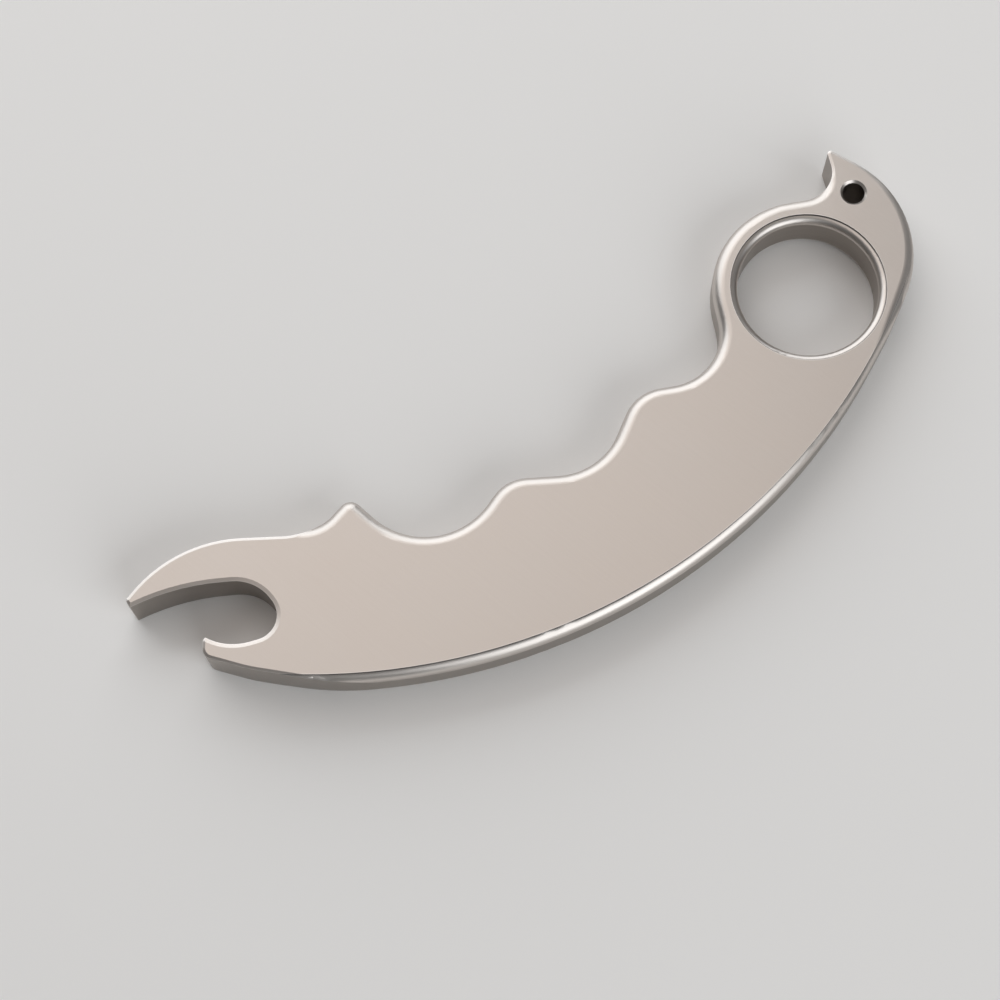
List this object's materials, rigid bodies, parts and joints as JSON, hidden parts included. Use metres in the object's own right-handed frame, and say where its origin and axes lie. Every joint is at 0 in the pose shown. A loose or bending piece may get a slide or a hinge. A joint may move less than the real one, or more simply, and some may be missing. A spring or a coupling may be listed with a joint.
{
  "type": "bottle opener",
  "caption": "Flat metal bottle opener in a curved claw outline with a hooked jaw, scalloped finger grip, finger ring and lanyard hole.",
  "frame": {"origin": "centre of the finger ring, at half the plate's thickness", "axes": "+X from the beak of the jaw to the finger ring, +Y towards the finger grooves, +Z normal to the plate along the finger ring's axis"},
  "size_m": [0.1533, 0.0538, 0.0094],
  "materials": {
    "satin_steel": "satin, fine grain on the faces, machined walls"
  },
  "bodies": {
    "root": {"opener_body": "satin_steel"}
  },
  "joints": []
}
